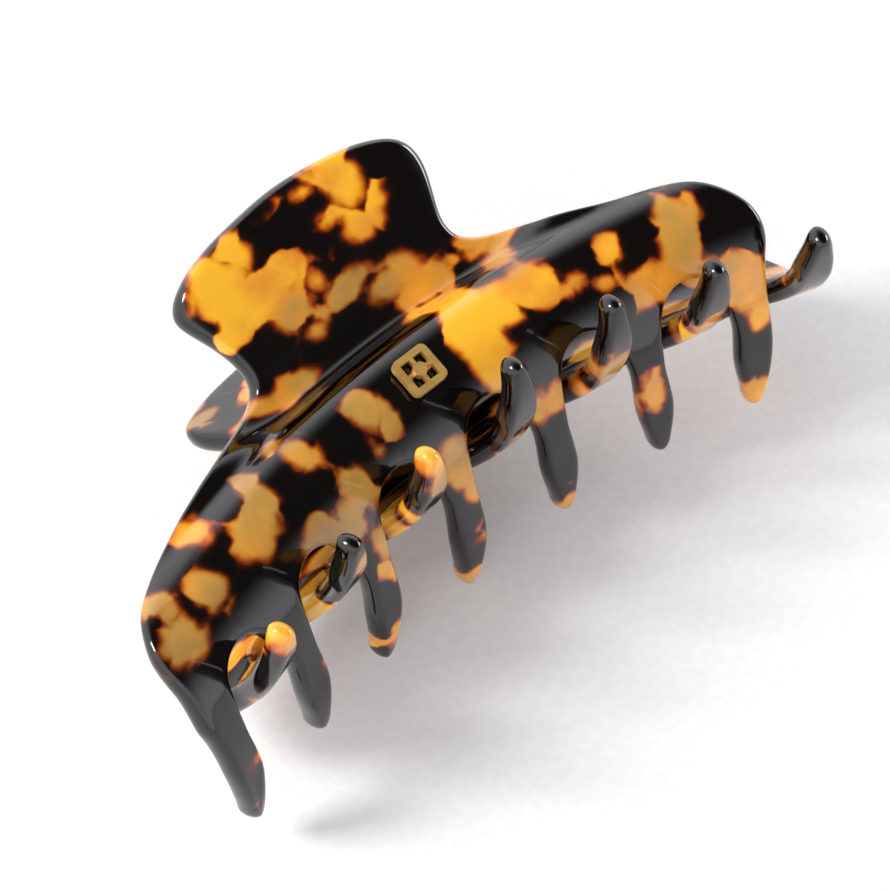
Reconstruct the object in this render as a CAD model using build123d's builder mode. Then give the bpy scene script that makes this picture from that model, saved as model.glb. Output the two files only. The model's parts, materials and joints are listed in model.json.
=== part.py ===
"""Large hair claw: two arched acetate jaws on a sprung metal hinge, with an ornament on the front jaw.

The clip's own axes have their origin on the hinge pin: x along the pin, y from the front jaw to the rear
jaw, z up the handles. The clip is modelled lying on its side, as on a table: it rests on the rear handle's
edge and on the tips of the front teeth, with the front jaw uppermost. The rear jaw is the front jaw turned
half a turn about z. Row frame: +X along the pin, +Y towards the handles, +Z up.
"""

from build123d import *
import os
from math import atan2, cos, radians, sin, sqrt, tan

# Jaw sheet: its side section is a mid-line, from the handle's top edge down to a middle tooth's tip.
SHEET = 3.0
HANDLE_ANGLE = -53.0  # direction of the handle's mid-line, below the y axis
HANDLE_REACH = 5.3  # pin to the handle's mid-line
HANDLE_LENGTH = 19.2
HANDLE_END = 1.3  # the handle turns into the waist this far above the foot of that reach
WAIST_RADIUS, WAIST_TURN = 4.0, -105.0
BROW_RADIUS, BROW_TURN = 3.5, 70.0
BELLY_RADIUS, BELLY_TURN = 9.0, 48.0
TOOTH_RADIUS, TOOTH_TURN = 33.0, 38.0
TIP_RADIUS, TIP_TURN = 11.0, 19.5

# The jaws bow along their length, about an axis along y far below the pin.
ARCH_RADIUS = 158.0
TEETH = 7
MIDDLE = TEETH // 2
TOOTH_STEP = 6.0  # angle between teeth about the arch axis
TEETH_SHIFT = -TOOTH_STEP / 4  # each jaw's teeth stand off centre, so that the two rows interleave
BODY_HALF = 19.4  # angle from the body's centre to its ends
BODY_SHIFT = -1.0  # the body itself stands a little less off centre

# Face-on outline of a jaw, x and z from the pin.
HANDLE_TOP = 14.1
HANDLE_CORNER_X, HANDLE_CORNER_Z = 18.6, 9.2
HANDLE_FILLET = 3.0
WAIST_X, WAIST_Z = 15.2, -1.9
WAIST_FILLET = 3.4
SHOULDER_DROP = 10.5  # how far below the pin the shoulders meet the ends, before the arch
SHOULDER_BOW = 3.2
SHOULDER_FILLET = 8.0

# Teeth, seen from below.
TOOTH_DEPTH = 24.5  # pin to the teeth
HALF_STEP = (ARCH_RADIUS - TOOTH_DEPTH) * tan(radians(TOOTH_STEP / 2))
TOOTH_HALF_ROOT, TOOTH_HALF_TIP = 2.9, 1.9
END_HALF = (2.4, 4.3)  # outer half of the left and right end teeth, where they run on from the body
END_TAPER_Y = -7.0  # where those outer flanks start to taper
VALLEY_Y = -5.0
TIP_Y = 19.4
TIP_SHORTER = (0.0, 1.2, 3.1, 4.0)  # by place out from the middle tooth
TIP_OVERCUT = 0.4
GAP_DEPTH, GAP_HALF = 27.0, 14.5  # how deep the gaps lie, and half their height

# Hinge: two equal leaves, whose knuckles interleave when one is turned half a turn.
PIN_RADIUS, RUNNING = 1.0, 0.05  # and the pin's radial clearance in the knuckles
KNUCKLE_RADIUS, KNUCKLE_WIDTH = 1.9, 2.3
KNUCKLE_X = (6.2, -9.0)
LUG_HALF = 1.5
HINGE_HALF = 10.4  # the outer knuckles and a little play
PIN_HEAD_RADIUS, PIN_HEAD, PIN_END = 1.7, 0.8, 1.1
WASHER_RADIUS, WASHER = 1.8, 0.6
LEAF, LEAF_WIDTH, LEAF_CORNER = 0.8, 22.0, 1.6
LEAF_TOP, LEAF_BOTTOM = -9.6, 1.0  # down the handle, from the foot of its reach
LEAF_SEAT, SEAT_PLAY = 0.4, 0.1  # how far the leaf is let into the acetate
RIVET_SPACING_X, RIVET_SPACING_Y, RIVET_MIDDLE_Y = 15.0, 4.6, -5.6
RIVET_RADIUS, RIVET_DEPTH, RIVET_FIT = 0.7, 1.4, 0.02
RIVET_HEAD_RADIUS, RIVET_HEAD, HEAD_TAPER = 1.25, 0.5, 35.0

# Torsion spring round the pin: a leg up each handle.
WIRE_RADIUS, COIL_RADIUS, COIL_PITCH, COIL_TURNS = 0.4, 1.65, 0.95, 8
LEG_LENGTH, LEG_LEAN = 9.0, 6.5

# Ornament on the front jaw's belly: an open lattice on two posts.
BADGE_X, BADGE_BELOW = -1.6, 16.0  # across, and the angle below level round the belly's centre
BADGE_SIDE, BADGE_CORNER, BADGE_THICK, BADGE_STANDOFF = 5.0, 0.8, 0.9, 0.5
WINDOW_SIDE, WINDOW_SPACING, BOSS_RADIUS, BOSS = 1.4, 1.9, 0.85, 0.35
POST_RADIUS, POST_FIT, POST_SPACING, POST_END = 0.45, 0.03, 2.9, 0.9
NUT_RADIUS, NUT, NUT_CLEAR = 1.1, 0.4, 0.12

PIN_Y = 10.63  # the pin's place along the row's Y

# Mid-line of the side section, in (y, z) from the pin. Inward is towards the other jaw.
INWARD = Vector(-sin(radians(HANDLE_ANGLE)), cos(radians(HANDLE_ANGLE)))
DOWN = Vector(cos(radians(HANDLE_ANGLE)), sin(radians(HANDLE_ANGLE)))
handle_end = INWARD * -HANDLE_REACH - DOWN * HANDLE_END
with BuildLine() as midline:
    handle = Line(handle_end - DOWN * HANDLE_LENGTH, handle_end)
    waist = JernArc(handle @ 1, handle % 1, WAIST_RADIUS, WAIST_TURN)
    brow = JernArc(waist @ 1, waist % 1, BROW_RADIUS, BROW_TURN)
    belly = JernArc(brow @ 1, brow % 1, BELLY_RADIUS, BELLY_TURN)
    tooth = JernArc(belly @ 1, belly % 1, TOOTH_RADIUS, TOOTH_TURN)
    tip = JernArc(tooth @ 1, tooth % 1, TIP_RADIUS, TIP_TURN)

# Lying down: the rear handle's top edge and the front tooth tips, both rounded, touch one level plane.
handle_top, tooth_tip = handle @ 0, tip @ 1
TILT = atan2(tooth_tip.X + handle_top.X, handle_top.Y - tooth_tip.Y)
PIN_Z = -handle_top.X * cos(TILT) + handle_top.Y * sin(TILT) + SHEET / 2

FRONT = Plane(origin=(0, PIN_Y, PIN_Z), x_dir=(1, 0, 0), z_dir=(0, cos(TILT), -sin(TILT)))
REAR = Plane(origin=FRONT.origin, x_dir=-FRONT.x_dir, z_dir=FRONT.z_dir)


def on(base, x_dir, z_dir, origin=(0, 0, 0)):
    """A plane given in another plane's axes."""
    return Plane(base.location * Plane(origin=origin, x_dir=x_dir, z_dir=z_dir).location)


def arch_plane(jaw_plane, angle, height):
    """Square to the arch radius at an angle along the jaw: local y runs along the jaw's y."""
    out_x, out_z = sin(radians(angle)), cos(radians(angle))
    radius = ARCH_RADIUS + height
    origin = (radius * out_x, 0, radius * out_z - ARCH_RADIUS)
    return on(jaw_plane, (out_z, 0, -out_x), (out_x, 0, out_z), origin)


def inner_face(jaw_plane, height=0.0):
    """The handle's inner face, opposite the pin: local x along the pin, y down the handle, z inward."""
    foot = INWARD * (SHEET / 2 - HANDLE_REACH + height)
    return on(jaw_plane, (1, 0, 0), (0, INWARD.X, INWARD.Y), (0, foot.X, foot.Y))


def badge_plane(height):
    """On the front jaw's belly: local x along the pin, y up the belly, z outward."""
    out_y, out_z = -cos(radians(BADGE_BELOW)), -sin(radians(BADGE_BELOW))
    radius = BELLY_RADIUS + SHEET / 2 + height
    centre = belly.center_point
    origin = (BADGE_X, centre.X + radius * out_y, centre.Y + radius * out_z)
    return on(FRONT, (1, 0, 0), (0, out_y, out_z), origin)


def pin_plane(x):
    """Square to the pin, at a place along it."""
    return on(FRONT, (0, 1, 0), (1, 0, 0), (x, 0, 0))


def end_points(side):
    """Where a shoulder meets the jaw's end, and a point far down that end, face-on."""
    angle = radians(BODY_SHIFT + side * BODY_HALF)
    radii = (ARCH_RADIUS - SHOULDER_DROP, ARCH_RADIUS - GAP_DEPTH - GAP_HALF)
    return [(radius * sin(angle), radius * cos(angle) - ARCH_RADIUS) for radius in radii]


def tip_y(number):
    """How far across the clip a tooth reaches: teeth are numbered along the jaw's x."""
    return TIP_Y - TIP_SHORTER[abs(number - MIDDLE)]


def leaf_outline(play=0.0):
    with Locations((0, (LEAF_TOP + LEAF_BOTTOM) / 2)):
        RectangleRounded(LEAF_WIDTH + 2 * play, LEAF_BOTTOM - LEAF_TOP + 2 * play, LEAF_CORNER)


def rivet_places():
    """The four rivets, on the leaf's own axes."""
    return [
        (column * RIVET_SPACING_X / 2, RIVET_MIDDLE_Y + row * RIVET_SPACING_Y / 2)
        for row in (-1, 1)
        for column in (-1, 1)
    ]


def save(name, piece):
    piece.part.label = name
    export_step(piece.part, f"parts/{name}.step")


def jaw_outline():
    """A jaw seen face-on: domed handle, waist, and shoulders that bow out to the ends."""
    ends, bottoms = zip(end_points(1), end_points(-1))
    with BuildSketch() as outline:
        with BuildLine():
            corner = (HANDLE_CORNER_X, HANDLE_CORNER_Z)
            ThreePointArc((-HANDLE_CORNER_X, HANDLE_CORNER_Z), (0, HANDLE_TOP), corner)
            for side, end, bottom in zip((1, -1), ends, bottoms):
                waist_x = side * WAIST_X
                bow = ((waist_x + end[0]) / 2, (WAIST_Z + end[1]) / 2 + SHOULDER_BOW)
                Line((side * HANDLE_CORNER_X, HANDLE_CORNER_Z), (waist_x, WAIST_Z))
                ThreePointArc((waist_x, WAIST_Z), bow, end)
                Line(end, bottom)
            Line(*bottoms)
        make_face()
        corners = outline.vertices().sort_by(Axis.Y, reverse=True)
        for pair, radius in ((0, HANDLE_FILLET), (2, WAIST_FILLET), (4, SHOULDER_FILLET)):
            for corner in corners[pair : pair + 2]:
                fillet(outline.vertices().sort_by_distance(corner)[0], radius)
    return outline.sketch


def gap_outline(left_y, right_y):
    """The gap between two teeth, from their tips to a round valley."""
    valley_end = VALLEY_Y + HALF_STEP - TOOTH_HALF_ROOT
    with BuildSketch() as outline:
        with BuildLine():
            valley = ThreePointArc(
                (TOOTH_HALF_ROOT - HALF_STEP, valley_end),
                (0, VALLEY_Y),
                (HALF_STEP - TOOTH_HALF_ROOT, valley_end),
            )
            for side, y, root in ((-1, left_y, valley @ 0), (1, right_y, valley @ 1)):
                shoulder = (side * (HALF_STEP - TOOTH_HALF_TIP), y - TOOTH_HALF_TIP)
                Line(root, shoulder)
                RadiusArc(shoulder, (side * HALF_STEP, y), side * TOOTH_HALF_TIP)
                Polyline(
                    (side * HALF_STEP, y),
                    (side * (HALF_STEP + TIP_OVERCUT), y),
                    (side * (HALF_STEP + TIP_OVERCUT), 2 * TIP_Y),
                    (0, 2 * TIP_Y),
                )
        make_face()
    return outline.sketch


def end_outline(side, y, root_half):
    """Beyond an end tooth's outer flank, which tapers to its round tip, from just off its middle."""
    off, centre_y = TIP_OVERCUT / 2, y - TOOTH_HALF_TIP
    with BuildSketch() as outline:
        with BuildLine():
            start = (side * off, centre_y + sqrt(TOOTH_HALF_TIP**2 - off**2))
            shoulder = (side * TOOTH_HALF_TIP, centre_y)
            RadiusArc(start, shoulder, side * TOOTH_HALF_TIP)
            Polyline(
                shoulder,
                (side * root_half, END_TAPER_Y),
                (side * HALF_STEP, END_TAPER_Y),
                (side * HALF_STEP, 2 * TIP_Y),
                (side * off, 2 * TIP_Y),
                start,
            )
        make_face()
    return outline.sketch


def make_jaw(name, jaw_plane, badge_holes):
    start = radians(BODY_SHIFT - BODY_HALF - 1)
    section = on(jaw_plane, (0, 1, 0), (cos(start), 0, -sin(start)), (0, 0, -ARCH_RADIUS))
    with BuildPart() as jaw:
        with BuildSketch(section):
            with BuildLine():
                offset(midline.line.moved(Location((0, ARCH_RADIUS))), amount=SHEET / 2)
            make_face()
        revolve(axis=Axis(section.origin, section.x_dir), revolution_arc=2 * (BODY_HALF + 1))
        with BuildSketch(on(jaw_plane, (1, 0, 0), (0, -1, 0))):
            add(jaw_outline())
        extrude(amount=2 * TIP_Y, both=True, mode=Mode.INTERSECT)
        for gap in range(TEETH - 1):
            angle = TEETH_SHIFT + (gap + 0.5 - MIDDLE) * TOOTH_STEP
            with BuildSketch(arch_plane(jaw_plane, angle, -GAP_DEPTH)):
                add(gap_outline(tip_y(gap), tip_y(gap + 1)))
            extrude(amount=GAP_HALF, both=True, mode=Mode.SUBTRACT)
        for side, number, root_half in zip((-1, 1), (0, TEETH - 1), END_HALF):
            angle = TEETH_SHIFT + side * MIDDLE * TOOTH_STEP
            with BuildSketch(arch_plane(jaw_plane, angle, -GAP_DEPTH)):
                add(end_outline(side, tip_y(number), root_half))
            extrude(amount=GAP_HALF, both=True, mode=Mode.SUBTRACT)
        # The hinge leaf is let into the inner face, and its rivets into blind holes.
        with BuildSketch(inner_face(jaw_plane, -LEAF_SEAT)):
            leaf_outline(SEAT_PLAY)
        extrude(amount=LEAF, mode=Mode.SUBTRACT)
        with BuildSketch(inner_face(jaw_plane, -LEAF_SEAT)):
            with Locations(*rivet_places()):
                Circle(RIVET_RADIUS + RIVET_FIT)
        extrude(amount=-RIVET_DEPTH, mode=Mode.SUBTRACT)
        if badge_holes:
            with BuildSketch(badge_plane(SHEET)):
                with GridLocations(POST_SPACING, 1, 2, 1):
                    Circle(POST_RADIUS + POST_FIT)
            extrude(amount=-3 * SHEET, mode=Mode.SUBTRACT)
    save(name, jaw)


def make_leaf(name, jaw_plane):
    """A stamped plate with two lugs for the pin."""
    pin_height = HANDLE_REACH - SHEET / 2
    lug_height = pin_height + LEAF_SEAT - LEAF / 2
    with BuildPart() as leaf:
        with BuildSketch(inner_face(jaw_plane, -LEAF_SEAT)):
            leaf_outline()
            with Locations(*rivet_places()):
                Circle(RIVET_RADIUS + RIVET_FIT, mode=Mode.SUBTRACT)
        extrude(amount=LEAF)
        for knuckle_x in KNUCKLE_X:
            with BuildSketch(on(inner_face(jaw_plane), (0, 1, 0), (1, 0, 0), (knuckle_x, 0, pin_height))):
                Circle(KNUCKLE_RADIUS)
                with Locations((0, -lug_height / 2)):
                    Rectangle(2 * LUG_HALF, lug_height)
                Circle(PIN_RADIUS + RUNNING, mode=Mode.SUBTRACT)
            extrude(amount=KNUCKLE_WIDTH / 2, both=True)
    save(name, leaf)


def make_rivet(name, jaw_plane, place):
    with BuildPart() as rivet:
        with BuildSketch(inner_face(jaw_plane, -LEAF_SEAT - RIVET_DEPTH)):
            with Locations(place):
                Circle(RIVET_RADIUS)
        extrude(amount=RIVET_DEPTH + LEAF)
        with BuildSketch(inner_face(jaw_plane, LEAF - LEAF_SEAT)):
            with Locations(place):
                Circle(RIVET_HEAD_RADIUS)
        extrude(amount=RIVET_HEAD, taper=HEAD_TAPER)
    save(name, rivet)


def make_pin():
    with BuildPart() as pin:
        with BuildSketch(pin_plane(-HINGE_HALF)):
            Circle(PIN_RADIUS)
        extrude(amount=2 * HINGE_HALF + PIN_END)
        with BuildSketch(pin_plane(-HINGE_HALF)):
            Circle(PIN_HEAD_RADIUS)
        extrude(amount=-PIN_HEAD, taper=HEAD_TAPER)
    save("hinge_pin", pin)


def make_washer():
    with BuildPart() as washer:
        with BuildSketch(pin_plane(HINGE_HALF)):
            Circle(WASHER_RADIUS)
            Circle(PIN_RADIUS + RIVET_FIT, mode=Mode.SUBTRACT)
        extrude(amount=WASHER)
    save("hinge_pin_washer", washer)


def make_spring():
    """A coil round the pin between the knuckles: its ends run up the two handles, leaning onto them."""
    leg_angle = radians(180 + HANDLE_ANGLE + LEG_LEAN)
    part_turn = 0.5 - (leg_angle - radians(90)) / radians(180)
    height = COIL_PITCH * (COIL_TURNS + part_turn)
    # The coil starts where the front leg is tangent to it.
    start_direction = (0, -sin(leg_angle), cos(leg_angle))
    coil_axes = on(FRONT, start_direction, (1, 0, 0), (-height / 2, 0, 0))
    with BuildPart() as spring:
        with BuildLine() as helix:
            Helix(pitch=COIL_PITCH, height=height, radius=COIL_RADIUS)
        coil = helix.line.moved(coil_axes.location)
        with BuildSketch(Plane(origin=coil @ 0, z_dir=coil % 0)):
            Circle(WIRE_RADIUS)
        sweep(path=coil, is_frenet=True)
        for coil_end, leg in ((coil @ 0, -(coil % 0)), (coil @ 1, coil % 1)):
            with BuildSketch(Plane(origin=coil_end, z_dir=leg)):
                Circle(WIRE_RADIUS)
            extrude(amount=LEG_LENGTH)
    save("torsion_spring", spring)


def make_badge():
    with BuildPart() as badge:
        with BuildSketch(badge_plane(BADGE_STANDOFF)):
            RectangleRounded(BADGE_SIDE, BADGE_SIDE, BADGE_CORNER)
            with GridLocations(WINDOW_SPACING, WINDOW_SPACING, 2, 2):
                Rectangle(WINDOW_SIDE, WINDOW_SIDE, mode=Mode.SUBTRACT)
        extrude(amount=BADGE_THICK)
        with BuildSketch(badge_plane(BADGE_STANDOFF)):
            Circle(BOSS_RADIUS)
        extrude(amount=BADGE_THICK + BOSS)
    save("badge_plate", badge)


def make_badge_post(name, side):
    with BuildPart() as post:
        with BuildSketch(badge_plane(-SHEET - POST_END)):
            with Locations((side * POST_SPACING / 2, 0)):
                Circle(POST_RADIUS)
        extrude(amount=SHEET + POST_END + BADGE_STANDOFF)
    save(name, post)


def make_badge_nut(name, side):
    with BuildPart() as nut:
        with BuildSketch(badge_plane(-SHEET - NUT_CLEAR)):
            with Locations((side * POST_SPACING / 2, 0)):
                Circle(NUT_RADIUS)
                Circle(POST_RADIUS + RIVET_FIT, mode=Mode.SUBTRACT)
        extrude(amount=-NUT)
    save(name, nut)


os.makedirs("parts", exist_ok=True)
for jaw_name, jaw_plane in (("front", FRONT), ("rear", REAR)):
    make_jaw(f"{jaw_name}_jaw", jaw_plane, badge_holes=jaw_name == "front")
    make_leaf(f"{jaw_name}_hinge_leaf", jaw_plane)
    for number, place in enumerate(rivet_places(), start=1):
        make_rivet(f"{jaw_name}_leaf_rivet_{number}", jaw_plane, place)
make_pin()
make_washer()
make_spring()
make_badge()
for side_name, side in (("left", -1), ("right", 1)):
    make_badge_post(f"badge_post_{side_name}", side)
    make_badge_nut(f"badge_nut_{side_name}", side)
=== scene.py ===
import json
from math import atan2, cos, pi, radians, sin

import bmesh
import bpy
import numpy as np
from mathutils import Matrix, Vector, geometry


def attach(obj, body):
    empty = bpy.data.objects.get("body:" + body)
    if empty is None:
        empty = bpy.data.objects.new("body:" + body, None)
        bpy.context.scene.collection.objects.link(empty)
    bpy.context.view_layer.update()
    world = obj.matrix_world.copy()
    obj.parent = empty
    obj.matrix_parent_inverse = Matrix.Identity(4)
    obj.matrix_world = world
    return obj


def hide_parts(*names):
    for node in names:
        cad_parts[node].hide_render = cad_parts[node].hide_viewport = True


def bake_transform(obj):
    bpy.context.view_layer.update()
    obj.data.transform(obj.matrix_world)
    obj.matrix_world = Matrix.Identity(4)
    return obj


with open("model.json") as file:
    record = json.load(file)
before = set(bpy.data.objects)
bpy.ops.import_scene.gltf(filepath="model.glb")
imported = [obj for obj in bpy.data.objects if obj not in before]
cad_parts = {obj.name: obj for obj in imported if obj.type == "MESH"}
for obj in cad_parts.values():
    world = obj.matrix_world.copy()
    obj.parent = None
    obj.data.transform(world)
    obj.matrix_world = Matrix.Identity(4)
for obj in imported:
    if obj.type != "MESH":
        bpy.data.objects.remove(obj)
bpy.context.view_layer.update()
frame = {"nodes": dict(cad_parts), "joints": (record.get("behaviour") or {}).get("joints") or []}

MM = 0.001

# ---------------------------------------------------------------- the jaw's section and the clip's axes
# The clip's own axes have their origin on the pin: x along the pin, y from the front jaw to the rear
# jaw and z up the handles. Lengths are in mm. The section is the CAD's: a mid-line from the handle's
# top edge down to a middle tooth's tip, carried along an arch. In the flat sheet, s is the way down
# it and a the way along it: PLAN_RADIUS times the angle round the arch.
SHEET = 3.0
HANDLE_ANGLE, HANDLE_REACH, HANDLE_LENGTH, HANDLE_END = -53.0, 5.3, 19.2, 1.3
BENDS = ((4.0, -105.0), (3.5, 70.0), (9.0, 48.0), (33.0, 38.0), (11.0, 19.5))  # radius, turn
ARCH_RADIUS, PLAN_RADIUS = 158.0, 145.0
TEETH, TOOTH_STEP, TEETH_SHIFT = 7, 6.0, -1.5  # the step and the shift in degrees round the arch
VALLEY_Y = -5.0  # how far across the clip the gaps between the teeth start
HALF_STEP, TOOTH_HALF = 7.0, 2.9  # half the way from tooth to tooth, and half a tooth, at the root
# The section's tables: the step between their places, and how far they run past the section's ends.
STEP, BEYOND = 0.02, 6.0
# How widely the bends are eased, as in the CAD and as in a real moulding.
SHARP, SOFT = 0.05, 1.4
EASE_REACH = 3.0  # in those widths
# Where down the sheet the eased section is moved back to its place, and over what length.
MOVED_FROM, MOVED_OVER = 16.0, 14.0
# Past the handle's sides the body runs on upwards, in place of turning in to the waist.
WING_FOOT, WING_HEADING, WING_EASE = 29.5, radians(-97), 5.0
WING_START, WING_SPREAD = 13.0, 16.0  # in a

pin = np.array(frame["joints"][0]["pos_m"]) / MM


def section_table(easing):
    """The mid-line every STEP mm down the sheet, its bends eased: s, y, z, heading, the bends' ends."""
    down = np.array((cos(radians(HANDLE_ANGLE)), sin(radians(HANDLE_ANGLE))))
    inward = np.array((-down[1], down[0]))
    top = -HANDLE_REACH * inward - (HANDLE_END + HANDLE_LENGTH) * down
    ends = HANDLE_LENGTH + np.cumsum([0] + [radius * radians(abs(turn)) for radius, turn in BENDS])
    headings = np.radians(HANDLE_ANGLE + np.cumsum([0] + [turn for _, turn in BENDS]))
    s = np.arange(-BEYOND, ends[-1] + BEYOND, STEP)
    heading = np.interp(s, ends, headings)
    reach = np.arange(-EASE_REACH * easing, EASE_REACH * easing + STEP, STEP)
    weights = np.exp(-((reach / easing) ** 2) / 2)
    padded = np.pad(heading, len(reach) // 2, mode="edge")
    heading = np.convolve(padded, weights / weights.sum(), mode="valid")[: len(s)]
    start = np.searchsorted(s, 0)
    y, z = np.cumsum(np.cos(heading)) * STEP, np.cumsum(np.sin(heading)) * STEP
    return s, y - y[start] + top[0], z - z[start] + top[1], heading, ends


_, sharp_y, sharp_z, _, bend_ends = section_table(SHARP)
S_TABLE, Y_TABLE, Z_TABLE, HEADING_TABLE, _ = section_table(SOFT)
BELLY_S, SECTION_END = bend_ends[2], bend_ends[-1]
# Easing cuts the corners a little, so below the waist the body is moved back to its place.
belly = np.searchsorted(S_TABLE, BELLY_S)
moved = np.clip((S_TABLE - MOVED_FROM) / MOVED_OVER, 0, 1)
Y_TABLE = Y_TABLE + moved * (sharp_y[belly] - Y_TABLE[belly])
Z_TABLE = Z_TABLE + moved * (sharp_z[belly] - Z_TABLE[belly])


def section(s):
    """Mid-line points (y, z) and headings at distances s down the sheet."""
    return tuple(np.interp(s, S_TABLE, table) for table in (Y_TABLE, Z_TABLE, HEADING_TABLE))


def s_at_reach(y):
    """How far down the sheet the tooth gets to a place across the clip."""
    lower = S_TABLE > BELLY_S
    return np.interp(y, Y_TABLE[lower], S_TABLE[lower])


# Lying down: the rear handle's top and the front tooth tips touch one level plane.
top_y, tip_y = np.interp((0, SECTION_END), S_TABLE, sharp_y)
top_z, tip_z = np.interp((0, SECTION_END), S_TABLE, sharp_z)
TILT = atan2(tip_y + top_y, top_z - tip_z)


def clip_to_row(points):
    """From the clip's axes at the pin, in mm, to the row frame in metres."""
    x, y, z = np.asarray(points, float).T
    row_y = pin[1] - y * sin(TILT) + z * cos(TILT)
    row_z = pin[2] - y * cos(TILT) - z * sin(TILT)
    return np.stack((x, row_y, row_z), 1) * MM


def eased(t):
    """From 0 to 1, starting and ending gently."""
    t = np.clip(t, 0, 1)
    return t * t * (3 - 2 * t)


def section_with_wings(a, s):
    """The section at places of the sheet, straighter past the handle's sides."""
    y, z, heading = section(s)
    foot_y, foot_z, _ = section(WING_FOOT)
    up = WING_FOOT - s
    straight = eased((np.abs(a) - WING_START) / WING_SPREAD) * eased(up / WING_EASE)
    y = y + straight * (foot_y - up * cos(WING_HEADING) - y)
    z = z + straight * (foot_z - up * sin(WING_HEADING) - z)
    heading = heading + straight * (WING_HEADING - heading)
    return y, z, heading


def bend(plan, height, turned):
    """A point of the flat sheet and its height above the mid-surface, bent to the jaw's shape."""
    a, s = plan.T
    y, z, heading = section_with_wings(a, s)
    y = y - height * np.sin(heading)
    z = z + height * np.cos(heading)
    radius, angle = ARCH_RADIUS + z, a / PLAN_RADIUS
    x = radius * np.sin(angle)
    z = radius * np.cos(angle) - ARCH_RADIUS
    # The rear jaw is the front one turned half a turn about the upright axis.
    side = -1 if turned else 1
    return clip_to_row(np.stack((side * x, side * y, z), 1))


# ---------------------------------------------------------------- the sheet's outline before bending
# How finely the curves of a tooth are drawn, then how the whole outline is spaced and smoothed.
FLANK_POINTS, TIP_POINTS, VALLEY_POINTS = 60, 24, 40
OUTLINE_SPACING, OUTLINE_SMOOTHINGS = 0.45, 6


def along(points, spacing):
    """The same polyline with evenly spaced points."""
    points = np.asarray(points, float)
    run = np.concatenate(([0], np.cumsum(np.hypot(*np.diff(points, axis=0).T))))
    at = np.linspace(0, run[-1], max(2, int(round(run[-1] / spacing)) + 1))
    return np.stack([np.interp(at, run, points[:, i]) for i in (0, 1)], 1)


# Each side's edge in the flat sheet, a and s, from the handle's top to the root of the end tooth.
RIGHT_EDGE = (
    (5, 0.4), (9, 1.0), (12, 1.9), (14.3, 3.2), (15.5, 5.0), (15.8, 7.6), (15.2, 10.6), (14.5, 13.6),
    (14.6, 15.6), (15.7, 17.6), (20.0, 20.9), (24.6, 24.3), (31.0, 26.3), (36.2, 27.4), (40.4, 29.1),
    (43.3, 31.4), (45.4, 33.9), (46.2, 36.2), (46.1, 38.4), (45.2, 41.0),
)
LEFT_EDGE = (
    (-5, 0.5), (-9, 1.0), (-12.3, 1.8), (-15, 3.2), (-16.2, 5.3), (-15.7, 8), (-14.9, 10.6),
    (-14.2, 13.6), (-14.2, 16.4), (-15.3, 18.0), (-19.4, 20.5), (-26.0, 23.8), (-33.7, 25.3),
    (-38.8, 26.4), (-42.9, 27.8), (-46.0, 29.1), (-48.5, 31.0), (-50.1, 33.0), (-51.0, 35.5),
    (-51.4, 38.6),
)


def smooth_through(points, steps=12):
    """A smooth curve through the points, each span shaped by its neighbours (Catmull-Rom)."""
    points = np.asarray(points, float)
    ends = np.concatenate((2 * points[:1] - points[1:2], points, 2 * points[-1:] - points[-2:-1]))
    t = np.linspace(0, 1, steps, endpoint=False)[:, None]
    parts = []
    for before, here, there, after in zip(ends, ends[1:], ends[2:], ends[3:]):
        parts.append(
            here
            + t * (there - before) / 2
            + t**2 * (2 * before - 5 * here + 4 * there - after) / 2
            + t**3 * (3 * here - before - 3 * there + after) / 2
        )
    return np.concatenate(parts + [points[-1:]])


# Half a tooth's width at shares of its length: it narrows, swells and tapers to a round tip.
WIDTH_AT = (0, 0.12, 0.3, 0.46, 0.6, 0.74, 0.88, 1)
HALF_WIDTH = (2.9, 2.5, 2.1, 2.25, 2.4, 2.15, 1.7, 1.4)
TIP_LENGTH = 1.5  # of its round tip
# The outer flank of an end tooth runs on from the body's end without narrowing.
OUTER_AT, OUTER_WIDTH = (0, 0.5, 0.75, 1), (2.7, 2.6, 2.1, 1.4)
# From the jaw's left: how far across the clip each tooth reaches, and how far its tip leans sideways.
REACH = {
    "front": (14.5, 15.3, 16.1, 17.4, 16.6, 16.0, 15.3),
    "rear": (15.0, 17.1, 19.9, 20.2, 17.5, 15.9, 15.6),
}
LEAN = {
    "front": (-1.2, -0.8, -2.2, -1.2, 0.2, 0.5, -0.4),
    "rear": (0.2, 0.1, 0.2, 0.6, 0.8, 0.6, 0.3),
}


def tooth_outline(number, reach, lean):
    """Round a tooth from its left root to its right root, in the flat sheet."""
    middle = PLAN_RADIUS * radians(TEETH_SHIFT + (number - TEETH // 2) * TOOTH_STEP)
    root, tip = s_at_reach(VALLEY_Y) + HALF_STEP - TOOTH_HALF, s_at_reach(reach)
    shoulder = tip - TIP_LENGTH
    s = np.linspace(root, shoulder, FLANK_POINTS)
    share = (s - root) / (shoulder - root)
    half = np.interp(share, WIDTH_AT, HALF_WIDTH)
    outer = np.maximum(half, np.interp(share, OUTER_AT, OUTER_WIDTH))
    t = np.linspace(0, pi / 2, TIP_POINTS)[1:]
    s = np.concatenate((s, shoulder + TIP_LENGTH * np.sin(t)))
    half, outer = (np.concatenate((width, HALF_WIDTH[-1] * np.cos(t))) for width in (half, outer))
    scale = PLAN_RADIUS / (ARCH_RADIUS + section(s)[1])
    centre = middle + lean * ((s - root) / (tip - root)) ** 2 * scale
    left = np.stack((centre - (half if number else outer) * scale, s), 1)
    right = np.stack((centre + (outer if number == TEETH - 1 else half) * scale, s), 1)[::-1][1:]
    return np.concatenate((left, right))


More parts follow.
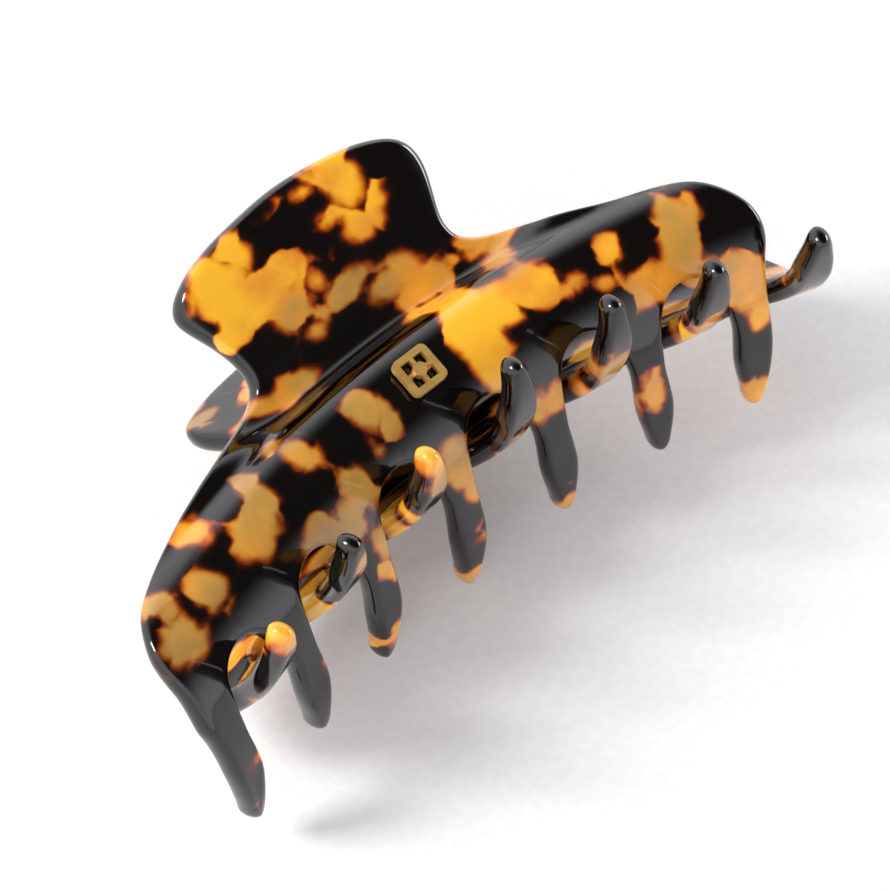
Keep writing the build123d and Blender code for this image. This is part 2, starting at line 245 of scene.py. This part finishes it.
def valley(number):
    """The round bottom of the gap after a tooth, from its right root to the next one's left."""
    middle = PLAN_RADIUS * radians(TEETH_SHIFT + (number + 0.5 - TEETH // 2) * TOOTH_STEP)
    depth = s_at_reach(VALLEY_Y)
    scale = PLAN_RADIUS / (ARCH_RADIUS + section(np.array([depth]))[1][0])
    half = HALF_STEP - TOOTH_HALF
    t = np.linspace(0, pi, VALLEY_POINTS)[1:-1]
    return np.stack((middle - half * scale * np.cos(t), depth + half * (1 - np.sin(t))), 1)


def sheet_outline(body):
    """The whole outline of a jaw's flat sheet, as a closed loop."""
    top = smooth_through(LEFT_EDGE[::-1] + ((0, 0.1),) + RIGHT_EDGE)
    chain = [top]
    for number in reversed(range(TEETH)):
        chain.append(tooth_outline(number, REACH[body][number], LEAN[body][number])[::-1])
        if number:
            chain.append(valley(number - 1)[::-1])
    loop = np.concatenate(chain)
    loop = along(np.concatenate((loop, loop[:1])), OUTLINE_SPACING)[:-1]
    # A little smoothing takes out the kinks where one curve meets the next.
    for _ in range(OUTLINE_SMOOTHINGS):
        loop = loop / 2 + (np.roll(loop, 1, 0) + np.roll(loop, -1, 0)) / 4
    return loop


# ---------------------------------------------------------------- the acetate's amber clouds
# Middle in the flat sheet, half-widths, and tone from dull ochre, 0, to bright orange-yellow, 1.
CLOUDS = {
    "front": (
        # handle
        (-10.6, 6.0, 3.6, 4.6, 1.0), (-7.6, 10.2, 3.0, 1.7, 0.9), (-7.2, 3.6, 1.9, 2.0, 1.0),
        (-4.6, 8.4, 2.2, 1.9, 0.8), (6.6, 4.0, 2.9, 4.6, 1.0), (5.8, 9.3, 1.9, 2.0, 0.8),
        (2.4, 2.2, 2.2, 1.4, 1.0), (3.4, 6.0, 2.2, 1.3, 0.9), (-5.4, 13.0, 3.4, 2.1, 0.3),
        (-1.4, 11.6, 1.7, 2.2, 0.7), (0.4, 14.6, 3.6, 2.0, 0.2), (5.2, 17.0, 3.6, 2.3, 0.3),
        (-4.6, 16.4, 2.3, 1.9, 0.4), (-13.0, 10.4, 1.4, 1.2, 0.8),
        # body, from the waist down
        (8.0, 21.0, 3.2, 3.4, 0.6), (7.0, 26.0, 3.4, 3.6, 0.9), (7.4, 31.0, 3.6, 3.4, 1.0),
        (7.0, 36.0, 2.5, 4.2, 1.0), (6.4, 41.0, 1.9, 3.2, 0.9), (12.4, 32.2, 3.6, 1.7, 0.9),
        (17.4, 32.0, 3.2, 1.8, 0.7), (16.6, 19.6, 2.7, 1.9, 0.7), (19.0, 21.6, 2.6, 2.0, 0.6),
        (16.6, 25.0, 1.8, 2.6, 0.5), (-9.8, 32.8, 2.9, 3.3, 0.3), (-11.8, 35.8, 1.6, 2.0, 0.3),
        (-12.3, 20.6, 3.4, 1.5, 0.5), (-15.6, 19.6, 1.8, 1.4, 0.6), (-19.0, 31.2, 2.4, 2.6, 0.3),
        (-23.0, 20.6, 2.4, 1.8, 0.8), (-26.2, 31.0, 1.7, 2.3, 0.3), (-28.6, 32.4, 2.0, 1.6, 0.3),
        (-31.0, 33.6, 1.6, 1.2, 0.3), (-34.0, 28.6, 2.3, 1.7, 0.9), (-39.6, 33.0, 2.1, 2.0, 0.3),
        (-44.2, 30.8, 1.8, 1.8, 0.3), (-46.0, 34.0, 2.8, 2.0, 0.3), (-23.4, 39.4, 2.9, 2.4, 0.2),
        (-20.0, 40.4, 2.5, 2.4, 0.3), (-16.0, 38.6, 1.8, 2.6, 0.2), (24.2, 35.6, 2.5, 1.8, 0.5),
        (21.2, 34.4, 2.0, 1.6, 0.6), (28.4, 37.6, 2.2, 1.6, 0.5), (36.8, 32.6, 1.7, 1.8, 0.4),
        (35.4, 35.6, 2.2, 2.8, 0.4), (34.0, 38.6, 3.2, 1.8, 0.5), (37.8, 40.2, 3.4, 2.2, 0.5),
        (42.2, 43.0, 3.0, 3.6, 0.8), (43.0, 47.0, 2.0, 2.2, 0.8), (13.0, 44.2, 2.6, 2.0, 0.7),
        (9.6, 44.6, 1.6, 1.8, 0.6), (-2.8, 44.2, 2.4, 3.0, 0.4), (-1.6, 47.6, 2.0, 2.0, 0.4),
        (-17.4, 45.2, 2.2, 3.0, 0.4), (37.6, 27.6, 1.0, 0.9, 0.9), (27.0, 33.0, 0.9, 1.0, 0.8),
        # teeth
        (-16.0, 49.6, 1.8, 1.8, 0.5), (-49.6, 58.6, 1.6, 1.8, 0.1), (-20.4, 59.0, 2.0, 2.0, 0.7),
        (-3.0, 55.0, 1.0, 1.8, 0.7), (-4.6, 61.0, 2.0, 1.7, 0.5), (11.6, 60.0, 2.0, 2.2, 0.4),
        (41.6, 58.4, 1.8, 1.7, 0.7), (25.6, 50.0, 1.1, 2.4, 0.6), (-32.6, 51.0, 0.9, 1.7, 0.6),
        (-48.6, 51.0, 1.0, 1.4, 0.9),
    ),
    "rear": (
        # handle
        (-11.0, 7.0, 3.0, 4.0, 0.6), (-2.0, 4.5, 3.4, 2.2, 0.9), (6.0, 9.0, 3.2, 3.0, 0.8),
        (13.0, 5.0, 2.6, 2.4, 0.1), (-4.0, 13.0, 2.4, 3.2, 0.4), (11.0, 14.0, 2.4, 1.8, 0.5),
        # body
        (-9.0, 22.0, 3.6, 2.4, 0.8), (2.0, 25.0, 3.4, 3.8, 0.9), (-3.0, 31.0, 2.4, 3.0, 0.5),
        (-15.0, 29.0, 3.0, 2.2, 0.5), (-22.0, 23.0, 2.8, 2.0, 0.7), (-29.0, 28.0, 3.2, 2.6, 0.4),
        (-36.0, 26.0, 2.0, 2.6, 0.8), (-43.0, 31.0, 3.2, 3.0, 0.6), (-47.0, 38.0, 3.2, 2.4, 0.8),
        (-35.0, 36.0, 3.0, 2.2, 0.5), (-23.0, 36.0, 2.2, 3.0, 0.9), (-10.0, 38.0, 2.8, 2.2, 0.5),
        (9.0, 33.0, 3.6, 2.4, 0.4), (13.0, 21.0, 2.2, 1.8, 0.8), (20.0, 27.0, 3.4, 2.8, 0.7),
        (28.0, 24.0, 2.6, 1.9, 0.5), (30.0, 32.0, 2.6, 3.2, 0.9), (39.0, 30.0, 3.0, 2.4, 0.4),
        (38.0, 38.0, 3.2, 2.0, 0.6), (20.0, 38.0, 3.2, 2.0, 0.5),
        # teeth
        (26.6, 45.0, 4.2, 3.4, 0.9), (11.4, 45.0, 3.8, 3.2, 1.0), (13.6, 50.0, 1.2, 2.6, 0.9),
        (41.6, 61.0, 2.2, 3.0, 0.7), (40.0, 46.0, 3.2, 1.6, 0.8), (26.0, 56.0, 1.1, 2.4, 0.3),
        (11.0, 57.0, 1.2, 3.0, 0.2), (-3.6, 46.0, 2.0, 1.8, 0.7), (-4.0, 54.0, 1.3, 3.0, 0.5),
        (-19.0, 53.0, 1.8, 4.0, 0.2), (-18.4, 46.0, 3.4, 1.8, 0.6), (-34.4, 45.5, 3.6, 2.4, 0.9),
        (-34.0, 52.0, 1.2, 2.0, 0.5), (-50.0, 46.0, 2.6, 2.0, 0.8), (11.4, 62.5, 1.4, 1.6, 0.8),
    ),
}


FAR_OUTSIDE, FADED = -4.0, -6.0  # the least depth, and where a cloud no longer gives its tone


def clouds(plan, body):
    """How deep each place is inside an amber cloud, in mm, below zero outside, and its tone."""
    depth = np.full(len(plan), FAR_OUTSIDE)
    tone, weights = np.zeros(len(plan)), np.zeros(len(plan))
    for a, s, half_a, half_s, shade in CLOUDS[body]:
        far = np.hypot((plan[:, 0] - a) / half_a, (plan[:, 1] - s) / half_s)
        within = (1 - far) * min(half_a, half_s)
        depth = np.maximum(depth, within)
        weight = np.exp(np.maximum(within, FADED))
        tone += weight * shade
        weights += weight
    return depth, tone / weights


# ---------------------------------------------------------------- the jaws' meshes
EDGE_WIDTH, EDGE_RINGS = 1.0, 6  # of the polished round edge, and the rings of points over it
EDGE_SHARE, EDGE_SMOOTHINGS = 0.7, 3  # of the outline's own radius that the edge may take
EDGE_IN, EDGE_UP = 0.9, 0.95  # powers that make the edge's curve a little fuller than a quarter circle
GRID = 0.85  # between the points of the two faces
ROW, CLEAR = 0.866, 0.55  # of GRID: from row to row, and the least distance from the edge
INSIDE_ONLY, TOLERANCE = 1, 1e-5  # of Blender's triangulation
BLOCK = 2000  # points at a time
TINY = 1e-12  # keeps a division from failing


def inside(points, loop):
    """Even-odd test of points against a closed loop."""
    x, y = points.T
    found = np.zeros(len(points), bool)
    for (ax, ay), (bx, by) in zip(loop, np.roll(loop, -1, 0)):
        crosses = ((ay > y) != (by > y)) & (x < (bx - ax) * (y - ay) / (by - ay + TINY) + ax)
        found ^= crosses
    return found


def distance(points, loop):
    """From each point to the nearest point of the loop, worked out in blocks to save memory."""
    blocks = np.array_split(points, len(points) // BLOCK + 1)
    return np.concatenate([np.sqrt(((block[:, None] - loop) ** 2).sum(2).min(1)) for block in blocks])


def inward_steps(loop):
    """Steps in the flat sheet, square to its outline, as long as the round edge is wide."""
    stretch = (ARCH_RADIUS + section(loop[:, 1])[1]) / PLAN_RADIUS
    along_loop = np.roll(loop, -1, 0) - np.roll(loop, 1, 0)
    area = np.sum(loop[:, 0] * np.roll(loop[:, 1], -1) - np.roll(loop[:, 0], -1) * loop[:, 1])
    da, ds = along_loop[:, 0] * stretch, along_loop[:, 1]
    length = np.hypot(da, ds)
    # The edge is narrower round a tooth's tip, where it curves tightly. The turn is taken over twice
    # the length.
    heading = np.unwrap(np.arctan2(ds, da))
    turn = (np.roll(heading, -2) - np.roll(heading, 2) + pi) % (2 * pi) - pi
    radius = 2 * length / np.maximum(turn * np.sign(area), TINY)
    width = np.minimum(EDGE_WIDTH, EDGE_SHARE * radius)
    for _ in range(EDGE_SMOOTHINGS):
        width = np.minimum(width, (np.roll(width, 1) + np.roll(width, -1)) / 2)
    length = length * np.sign(area) / width
    return np.stack((-ds / length / stretch, da / length), 1)


def solid(name, vertices, faces):
    """A smooth closed mesh with its faces turned outwards, as a new piece of the scene."""
    mesh = bpy.data.meshes.new(name)
    mesh.from_pydata(vertices.tolist(), [], faces)
    model = bmesh.new()
    model.from_mesh(mesh)
    bmesh.ops.recalc_face_normals(model, faces=model.faces)
    model.to_mesh(mesh)
    model.free()
    mesh.shade_smooth()
    piece = bpy.data.objects.new(name, mesh)
    bpy.context.scene.collection.objects.link(piece)
    return piece


def half_sheet(loop):
    """One face of the flat sheet and its round edge: points, their heights and the triangles."""
    steps = inward_steps(loop)
    rings, heights = [], []
    for ring in range(EDGE_RINGS + 1):
        t = ring / EDGE_RINGS * pi / 2
        rings.append(loop + steps * (1 - cos(t) ** EDGE_IN))
        heights.append(np.full(len(loop), SHEET / 2 * sin(t) ** EDGE_UP))
    low, high = loop.min(0), loop.max(0)
    a, s = np.meshgrid(np.arange(low[0], high[0], GRID), np.arange(low[1], high[1], GRID * ROW))
    # Every other row is half a step along, so that the triangles are even.
    a = a + (np.arange(a.shape[0]) % 2)[:, None] * GRID / 2
    grid = np.stack((a.ravel(), s.ravel()), 1)
    grid = grid[inside(grid, rings[-1])]
    grid = grid[distance(grid, rings[-1]) > GRID * CLEAR]
    plan = np.concatenate(rings + [grid])
    height = np.concatenate(heights + [np.full(len(grid), SHEET / 2)])
    count = len(loop)
    starts = range(0, count * len(rings), count)
    edges = [(start + i, start + (i + 1) % count) for start in starts for i in range(count)]
    points, _, faces, source, _, _ = geometry.delaunay_2d_cdt(
        [Vector(p) for p in plan], edges, [], INSIDE_ONLY, TOLERANCE, True
    )
    kept = np.array([given[0] if given else -1 for given in source])
    if (kept < 0).any() or len(points) != len(plan):
        raise RuntimeError("the sheet's triangulation added or lost points")
    faces = kept[np.array(faces)]
    return plan, height, faces[inside(plan[faces].mean(1), loop)]


def build_jaw(name, body, turned):
    """A bent sheet with round edges, meshed as two skins that meet round the outline."""
    loop = sheet_outline(body)
    plan, height, faces = half_sheet(loop)
    inner, outer = bend(plan, height, turned), bend(plan, -height, turned)
    vertices = np.concatenate((inner, outer[len(loop) :]))
    # Each point's twin on the outer skin: the outline's own points serve both.
    index = np.arange(len(plan))
    twin = np.where(index < len(loop), index, index + len(plan) - len(loop))
    piece = solid(name, vertices, faces.tolist() + twin[faces][:, ::-1].tolist())
    places = np.concatenate((plan, plan[len(loop) :]))
    for label, values in zip(("depth", "tone"), clouds(places, body)):
        attribute = piece.data.attributes.new(label, "FLOAT", "POINT")
        attribute.data.foreach_set("value", values.astype(np.float32))
    return piece


# ---------------------------------------------------------------- materials
class Nodes:
    """Short calls for making a material's nodes."""

    def __init__(self, name):
        self.material = bpy.data.materials.new(name)
        self.material.use_nodes = True
        self.tree = self.material.node_tree
        self.shader = self.tree.nodes["Principled BSDF"]

    def add(self, kind, settings=None, **inputs):
        """A node with its settings and inputs. An input is named, or i and its number."""
        node = self.tree.nodes.new(kind)
        for key, value in (settings or {}).items():
            setattr(node, key, value)
        for key, value in inputs.items():
            numbered = key[0] == "i" and key[1:].isdigit()
            self.put(node.inputs[int(key[1:]) if numbered else key.replace("_", " ")], value)
        return node

    def put(self, socket, value):
        """A link if the value is another node's socket, otherwise the socket's own value."""
        if isinstance(value, bpy.types.NodeSocket):
            self.tree.links.new(value, socket)
        else:
            socket.default_value = value

    def math(self, operation, one, two, clamp=False):
        settings = {"operation": operation, "use_clamp": clamp}
        return self.add("ShaderNodeMath", settings, i0=one, i1=two).outputs[0]

    def vector(self, operation, one, **inputs):
        return self.add("ShaderNodeVectorMath", {"operation": operation}, i0=one, **inputs).outputs[0]

    def spread(self, value, **ends):
        """The value's range mapped on to another one."""
        return self.add("ShaderNodeMapRange", Value=value, **ends).outputs["Result"]

    def ramp(self, factor, stops):
        node = self.add("ShaderNodeValToRGB", Fac=factor)
        elements = node.color_ramp.elements
        while len(elements) < len(stops):
            elements.new(0.5)
        for element, (position, color) in zip(elements, stops):
            element.position = position
            element.color = (*color, 1)
        return node.outputs["Color"]

    def millimetres(self):
        """The place on the piece, in mm, so that a noise's scale is in turns per mm."""
        return self.vector("SCALE", self.add("ShaderNodeTexCoord").outputs["Object"], Scale=1 / MM)

    def noise(self, vector, scale, detail=2.0, roughness=0.5):
        fineness = {"Detail": detail, "Roughness": roughness}
        return self.add("ShaderNodeTexNoise", Vector=vector, Scale=scale, **fineness)

    def shade(self, **values):
        """Sets the material's own inputs."""
        for key, value in values.items():
            self.put(self.shader.inputs[key.replace("_", " ")], value)

    def bump(self, height, strength, distance):
        node = self.add("ShaderNodeBump", Height=height, Strength=strength, Distance=distance)
        self.put(self.shader.inputs["Normal"], node.outputs["Normal"])


# The clouds' broken edges: how far each thing moves them in or out, in mm, and its scale per mm.
WOBBLE, WOBBLE_SCALE = 1.6, 0.35
CHIP, CHIP_SCALE, CHIP_MIDDLE = 2.4, 0.21, 0.42
FRAY, FRAY_SCALE = 1.6, 0.4
EDGE_OUTSIDE, EDGE_INSIDE = -1.1, 0.9  # the depths between which black turns to amber
DRIFT, DRIFT_SCALE = 1.1, 0.16  # of the tone, from place to place
# The polish: fine differences in gloss, and a slow ripple in the surface.
GLOSS_SCALE, POLISHED, DULLER = 1.4, 0.05, 0.12
RIPPLE_SCALE, RIPPLE, RIPPLE_HEIGHT = 0.28, 0.3, 0.00005
# What the amber is multiplied by, from outside a cloud to inside it.
GLOW = (
    (0.0, (0.0025, 0.0022, 0.0035)),
    (0.28, (0.008, 0.004, 0.0035)),
    (0.42, (0.07, 0.016, 0.005)),
    (0.58, (0.45, 0.16, 0.03)),
    (0.80, (0.92, 0.80, 0.62)),
    (1.0, (1.0, 1.0, 1.0)),
)
# The amber, from dull ochre to bright orange-yellow.
AMBER = (
    (0.08, (0.36, 0.20, 0.06)),
    (0.38, (0.54, 0.28, 0.055)),
    (0.66, (0.80, 0.31, 0.03)),
    (0.95, (0.95, 0.48, 0.03)),
)


def acetate(name, offset):
    """Polished tortoiseshell acetate: amber clouds with broken, softly glowing edges in near-black."""
    n = Nodes(name)
    place = n.vector("ADD", n.millimetres(), i1=offset)
    depth = n.add("ShaderNodeAttribute", {"attribute_name": "depth"}).outputs["Fac"]
    tone = n.add("ShaderNodeAttribute", {"attribute_name": "tone"}).outputs["Fac"]
    wobble = n.vector("SUBTRACT", n.noise(place, WOBBLE_SCALE).outputs["Color"], i1=(0.5, 0.5, 0.5))
    warped = n.vector("ADD", place, i1=n.vector("SCALE", wobble, Scale=WOBBLE))
    # Chips of sheet pressed together break the clouds' edges at angles.
    cells = {"feature": "SMOOTH_F1"}
    chips = n.add("ShaderNodeTexVoronoi", cells, Vector=warped, Scale=CHIP_SCALE, Smoothness=0.3)
    chip = n.add("ShaderNodeSeparateColor", Color=chips.outputs["Color"]).outputs[0]
    fray = n.noise(place, FRAY_SCALE, detail=1.0, roughness=0.4).outputs["Fac"]
    value = n.math("ADD", depth, n.math("MULTIPLY", n.math("SUBTRACT", chip, CHIP_MIDDLE), CHIP))
    value = n.math("ADD", value, n.math("MULTIPLY", n.math("SUBTRACT", fray, 0.5), FRAY))
    glow = n.ramp(n.spread(value, From_Min=EDGE_OUTSIDE, From_Max=EDGE_INSIDE), GLOW)
    drift = n.noise(place, DRIFT_SCALE, detail=3.0).outputs["Fac"]
    shade = n.math("ADD", tone, n.math("MULTIPLY", n.math("SUBTRACT", drift, 0.5), DRIFT), clamp=True)
    color = n.add("ShaderNodeMix", {"data_type": "RGBA", "blend_type": "MULTIPLY"})
    for socket, value in zip((0, 6, 7), (1.0, glow, n.ramp(shade, AMBER))):
        n.put(color.inputs[socket], value)
    gloss = n.noise(place, GLOSS_SCALE, detail=3.0, roughness=0.6).outputs["Fac"]
    n.shade(
        Base_Color=color.outputs[2],
        Roughness=n.spread(gloss, To_Min=POLISHED, To_Max=DULLER),
        IOR=1.49,
        Coat_Weight=0.3,
        Coat_Roughness=0.03,
    )
    n.bump(n.noise(place, RIPPLE_SCALE).outputs["Fac"], RIPPLE, RIPPLE_HEIGHT)
    return n.material


# Metal: how its grain is drawn out along x, the scale of its dulled patches, the grain's share of its
# wear, the least and most that wear multiplies its roughness by, and the depth of the grain.
GRAIN_STRETCH, PATCH_SCALE = (0.25, 6.0, 6.0), 0.5
GRAIN_SHARE, SMOOTHEST, ROUGHEST = 0.6, 0.6, 1.5
GRAIN, GRAIN_HEIGHT = 0.25, 0.00002


def metal(name, color, dulled, roughness, grain, metallic=1.0):
    """Plated or drawn metal: fine grain along the part, and slightly dulled patches."""
    n = Nodes(name)
    place = n.millimetres()
    stretched = n.add("ShaderNodeMapping", Vector=place, Scale=GRAIN_STRETCH).outputs[0]
    lines = n.noise(stretched, grain, detail=3.0, roughness=0.6).outputs["Fac"]
    patches = n.noise(place, PATCH_SCALE, detail=3.0, roughness=0.6).outputs["Fac"]
    worn = n.math("MULTIPLY", patches, 1 - GRAIN_SHARE)
    worn = n.math("ADD", n.math("MULTIPLY", lines, GRAIN_SHARE), worn)
    n.shade(
        Base_Color=n.ramp(patches, ((0.3, dulled), (0.62, color))),
        Metallic=metallic,
        Roughness=n.spread(worn, To_Min=roughness * SMOOTHEST, To_Max=roughness * ROUGHEST),
    )
    n.bump(lines, GRAIN, GRAIN_HEIGHT)
    return n.material


# The front and rear sheets are cut from different places of the pattern.
shells = {
    "front": acetate("acetate_front", (31.0, 12.0, 7.0)),
    "rear": acetate("acetate_rear", (-57.0, 40.0, 23.0)),
}
gold = metal(
    "gold_plate", (1.0, 0.64, 0.19), (0.88, 0.50, 0.12), roughness=0.34, grain=0.8, metallic=0.75
)
hinge_gold = metal("hinge_plate", (0.88, 0.66, 0.36), (0.70, 0.50, 0.26), roughness=0.26, grain=1.2)
steel = metal("spring_steel", (0.72, 0.70, 0.67), (0.50, 0.48, 0.46), roughness=0.28, grain=1.5)


def dress(piece, material):
    """The piece in that material and no other."""
    piece.data.materials.clear()
    piece.data.materials.append(material)


# ---------------------------------------------------------------- the torsion spring
WIRE_RADIUS, COIL_RADIUS, COIL_PITCH, COIL_TURNS = 0.4, 1.65, 0.95, 8
LEG_LENGTH, LEG_LEAN = 9.0, 6.5  # the lean, in degrees, is from the handle's own slope
WIRE_SIDES, TURN_STEPS, LEG_STEPS = 14, 30, 12
WIRE_END = (0.0, 0.5, 1.0, 1.4)  # the angles up each rounded end at which it has a ring of points


def spring_path():
    """The wire's middle, from the end of the front leg through the coil to the end of the rear leg."""
    leg = radians(180 + HANDLE_ANGLE + LEG_LEAN)
    turns = COIL_TURNS + 0.5 - (leg - pi / 2) / pi
    angle = np.linspace(0, 2 * pi * turns, int(TURN_STEPS * turns))
    across, along_leg = np.array((-sin(leg), cos(leg))), np.array((-cos(leg), -sin(leg)))
    out = np.cos(angle)[:, None] * across + np.sin(angle)[:, None] * along_leg
    coil = np.column_stack((COIL_PITCH * (angle / 2 / pi - turns / 2), COIL_RADIUS * out))
    away = np.linspace(LEG_LENGTH, 0, LEG_STEPS, endpoint=False)[:, None]
    front = coil[0] + away * (0, cos(leg), sin(leg))
    rear = (coil[-1] + away * (0, -cos(leg), sin(leg)))[::-1]
    return np.concatenate((front, coil, rear)), coil


def wire(name, path):
    """A round wire along a path, with rounded ends."""
    forward = np.gradient(path, axis=0)
    forward /= np.linalg.norm(forward, axis=1)[:, None]
    side = np.array((1.0, 0, 0))
    rings = []
    for number, (point, ahead) in enumerate(zip(path, forward)):
        side = side - ahead * (side @ ahead)
        side /= np.linalg.norm(side)
        above = np.cross(ahead, side)
        round_wire = np.linspace(0, 2 * pi, WIRE_SIDES, endpoint=False)[:, None]
        ring = np.cos(round_wire) * side + np.sin(round_wire) * above
        steps = [(0.0, 1.0)]
        if number in (0, len(path) - 1):
            steps = [(sin(t), cos(t)) for t in WIRE_END]
        if number == 0:
            steps = [(-beyond, wide) for beyond, wide in reversed(steps)]
        rings += [point + WIRE_RADIUS * (beyond * ahead + wide * ring) for beyond, wide in steps]
    vertices = clip_to_row(np.concatenate(rings))
    faces = [
        (k * WIRE_SIDES + i, k * WIRE_SIDES + j, (k + 1) * WIRE_SIDES + j, (k + 1) * WIRE_SIDES + i)
        for k in range(len(rings) - 1)
        for i, j in zip(range(WIRE_SIDES), [*range(1, WIRE_SIDES), 0])
    ]
    last = len(vertices) - WIRE_SIDES
    faces += [tuple(range(WIRE_SIDES))[::-1], tuple(range(last, last + WIRE_SIDES))]
    return solid(name, vertices, faces)


# ---------------------------------------------------------------- pieces
for body, shell in shells.items():
    jaw = build_jaw(f"{body}_jaw_sheet", body, turned=body == "rear")
    dress(jaw, shell)
    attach(jaw, body)
    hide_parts(f"{body}_jaw")

path, coil = spring_path()
spring = wire("torsion_spring_wire", path)
dress(spring, steel)
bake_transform(spring)
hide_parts("torsion_spring")

for node, part in frame["nodes"].items():
    if node.startswith("badge"):
        dress(part, gold)
    elif node != "torsion_spring" and not node.endswith("_jaw"):
        dress(part, hinge_gold)


# ---------------------------------------------------------------- floor, light and camera
# Places are in metres.
CENTRE = (0.0, 0.0, 0.02)
DARK_TOWARD, DARK_FROM, DARK_AT = (0.3, -0.15, 0.94), 0.35, 0.85
TENT, TENT_DARK, TENT_BLUE = 1.65, 0.08, 1.04
FLOOR_SIZE, FLOOR_BELOW = 6.0, 0.0002
PAPER_SCALE, PAPER_GREY, PAPER_WHITE = 0.8, (0.90, 0.90, 0.90), (0.94, 0.94, 0.94)


def floor():
    """A sheet of white paper just under the clip."""
    bpy.ops.mesh.primitive_plane_add(size=FLOOR_SIZE, location=(0, 0, -FLOOR_BELOW))
    plane = bpy.context.object
    plane.name = "floor"
    n = Nodes("paper")
    grain = n.noise(n.millimetres(), PAPER_SCALE, detail=3.0).outputs["Fac"]
    paper = n.ramp(grain, ((0.35, PAPER_GREY), (0.65, PAPER_WHITE)))
    n.shade(Base_Color=paper, Roughness=0.9)
    dress(plane, n.material)


def light(name, place, size, power):
    """A rectangular lamp that faces the clip."""
    lamp = bpy.data.lights.new(name, "AREA")
    lamp.shape, lamp.size, lamp.size_y, lamp.energy = "RECTANGLE", size[0], size[1], power
    holder = bpy.data.objects.new(name, lamp)
    holder.location = place
    holder.rotation_euler = (Vector(CENTRE) - Vector(place)).to_track_quat("-Z", "Y").to_euler()
    bpy.context.scene.collection.objects.link(holder)


def sky():
    """A white tent round the clip, dark above it where the front jaw would mirror it."""
    world = bpy.data.worlds.new("studio")
    bpy.context.scene.world = world
    world.use_nodes = True
    tree = world.node_tree
    place = tree.nodes.new("ShaderNodeTexCoord").outputs["Generated"]
    toward = tree.nodes.new("ShaderNodeVectorMath")
    toward.operation = "DOT_PRODUCT"
    tree.links.new(place, toward.inputs[0])
    toward.inputs[1].default_value = DARK_TOWARD
    ramp = tree.nodes.new("ShaderNodeValToRGB")
    ramp.color_ramp.interpolation = "EASE"
    for element, position, value in zip(
        ramp.color_ramp.elements, (DARK_FROM, DARK_AT), (TENT, TENT_DARK)
    ):
        element.position = position
        element.color = (value, value, value * TENT_BLUE, 1)
    tree.links.new(toward.outputs["Value"], ramp.inputs["Fac"])
    tree.links.new(ramp.outputs["Color"], tree.nodes["Background"].inputs["Color"])


floor()
sky()
light("key", place=(-0.62, 0.42, 0.66), size=(0.26, 0.26), power=6.5)
light("fill", place=(1.0, -0.25, 0.3), size=(0.5, 0.25), power=5)

# The eye's line of sight in the clip's own axes, then how far the picture is rolled about it.
TURN, RISE, ROLL = radians(23.83), radians(-24.01), radians(47.37)
DISTANCE, LENS, SENSOR = 602.0, 208.2, 36.0
NEAR, FAR = 0.01, 10.0  # in metres
MIDDLE_BELOW_PIN = 9.7  # the view turns about this point, on the clip's own axis
OFF_RIGHT, OFF_DOWN = 5.07, 6.49  # the picture's middle from there


def camera():
    """The photograph's view, set up in the clip's own axes and turned to the row frame."""
    sight = Vector((sin(TURN) * cos(RISE), cos(TURN) * cos(RISE), -sin(RISE)))
    right = Vector((cos(TURN), -sin(TURN), 0))
    up = right.cross(sight)
    right, up = cos(ROLL) * right - sin(ROLL) * up, sin(ROLL) * right + cos(ROLL) * up
    middle = Vector((0, 0, -MIDDLE_BELOW_PIN))
    place = middle - sight * DISTANCE
    aim = middle + right * OFF_RIGHT - up * OFF_DOWN
    back = (place - aim).normalized()
    right = up.cross(back).normalized()
    up = back.cross(right)
    tips = clip_to_row([place, place + right, place + up, place + back]) / MM
    axes = [Vector(tip - tips[0]).normalized() for tip in tips[1:]]
    data = bpy.data.cameras.new("camera")
    data.lens, data.sensor_width = LENS, SENSOR
    data.clip_start, data.clip_end = NEAR, FAR
    holder = bpy.data.objects.new("camera", data)
    holder.matrix_world = Matrix.Translation(Vector(tips[0]) * MM) @ Matrix(axes).transposed().to_4x4()
    bpy.context.scene.collection.objects.link(holder)
    bpy.context.scene.camera = holder


camera()
bpy.context.scene.view_settings.view_transform = "Standard"
